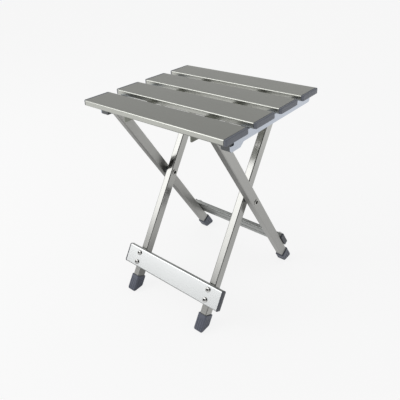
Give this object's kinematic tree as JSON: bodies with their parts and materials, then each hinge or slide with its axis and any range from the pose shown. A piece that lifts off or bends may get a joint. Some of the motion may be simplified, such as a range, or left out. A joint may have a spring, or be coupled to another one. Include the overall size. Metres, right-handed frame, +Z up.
{
  "type": "folding stool",
  "caption": "Folding stool with a slatted aluminium seat on a scissor frame of rectangular tube legs with crossbars and plastic feet; it folds about its cross pivots.",
  "frame": {"origin": "on the floor, below the middle of the seat", "axes": "+X along the slats to the stool's right as seen from its front, +Y to the rear, +Z up"},
  "size_m": [0.32, 0.3048, 0.414],
  "materials": {
    "slat_aluminium": "matt anodised, fine blasted grain",
    "end_cap_plastic": "moulded, dark slate",
    "rail_aluminium": "satin mill finish",
    "slat_rivet_aluminium": "plain",
    "pivot_steel": "zinc plated",
    "bush_plastic": "moulded, dark grey",
    "foot_plastic": "moulded, dark slate, grooved",
    "plug_plastic": "moulded, dark grey",
    "leg_aluminium": "satin anodised",
    "crossbar_rivet_steel": "polished domes",
    "crossbar_cap_plastic": "moulded, dark grey",
    "crossbar_aluminium": "satin anodised"
  },
  "bodies": {
    "outer_legs": {"cross_pivot_pin_left": "pivot_steel", "cross_pivot_pin_right": "pivot_steel", "cross_pivot_spacer_left": "bush_plastic", "cross_pivot_spacer_right": "bush_plastic", "outer_leg_foot_left": "foot_plastic", "outer_leg_foot_right": "foot_plastic", "outer_leg_left": "leg_aluminium", "outer_leg_right": "leg_aluminium", "outer_leg_top_plug_left": "plug_plastic", "outer_leg_top_plug_right": "plug_plastic", "rear_crossbar": "crossbar_aluminium", "rear_crossbar_cap_left": "crossbar_cap_plastic", "rear_crossbar_cap_right": "crossbar_cap_plastic", "rear_crossbar_rivets": "crossbar_rivet_steel"},
    "inner_legs": {"front_crossbar": "crossbar_aluminium", "front_crossbar_cap_left": "crossbar_cap_plastic", "front_crossbar_cap_right": "crossbar_cap_plastic", "front_crossbar_rivets": "crossbar_rivet_steel", "inner_leg_foot_left": "foot_plastic", "inner_leg_foot_right": "foot_plastic", "inner_leg_left": "leg_aluminium", "inner_leg_right": "leg_aluminium", "inner_leg_top_plug_left": "plug_plastic", "inner_leg_top_plug_right": "plug_plastic", "slide_bush_left": "bush_plastic", "slide_bush_right": "bush_plastic", "slide_pin_left": "pivot_steel", "slide_pin_right": "pivot_steel"},
    "seat": {"inner_rail_left": "rail_aluminium", "inner_rail_right": "rail_aluminium", "outer_rail_left": "rail_aluminium", "outer_rail_right": "rail_aluminium", "seat_pivot_bush_left": "bush_plastic", "seat_pivot_bush_right": "bush_plastic", "seat_pivot_pin_left": "pivot_steel", "seat_pivot_pin_right": "pivot_steel", "seat_slat_1": "slat_aluminium", "seat_slat_2": "slat_aluminium", "seat_slat_3": "slat_aluminium", "seat_slat_4": "slat_aluminium", "slat_end_cap_left_1": "end_cap_plastic", "slat_end_cap_left_2": "end_cap_plastic", "slat_end_cap_left_3": "end_cap_plastic", "slat_end_cap_left_4": "end_cap_plastic", "slat_end_cap_right_1": "end_cap_plastic", "slat_end_cap_right_2": "end_cap_plastic", "slat_end_cap_right_3": "end_cap_plastic", "slat_end_cap_right_4": "end_cap_plastic", "slat_rivets": "slat_rivet_aluminium"}
  },
  "joints": [
    {"name": "leg_fold", "type": "hinge", "parent": "outer_legs", "child": "inner_legs", "pos_m": [0, 0, 0.224], "axis": [1, 0, 0], "range_deg": [0, 64]},
    {"name": "seat_tilt", "type": "hinge", "parent": "outer_legs", "child": "seat", "pos_m": [0, -0.1056, 0.391], "axis": [1, 0, 0], "range_deg": [0, 32]}
  ],
  "couplings": [
    {"joint": "seat_tilt", "follows": "leg_fold", "ratio": 0.5}
  ]
}
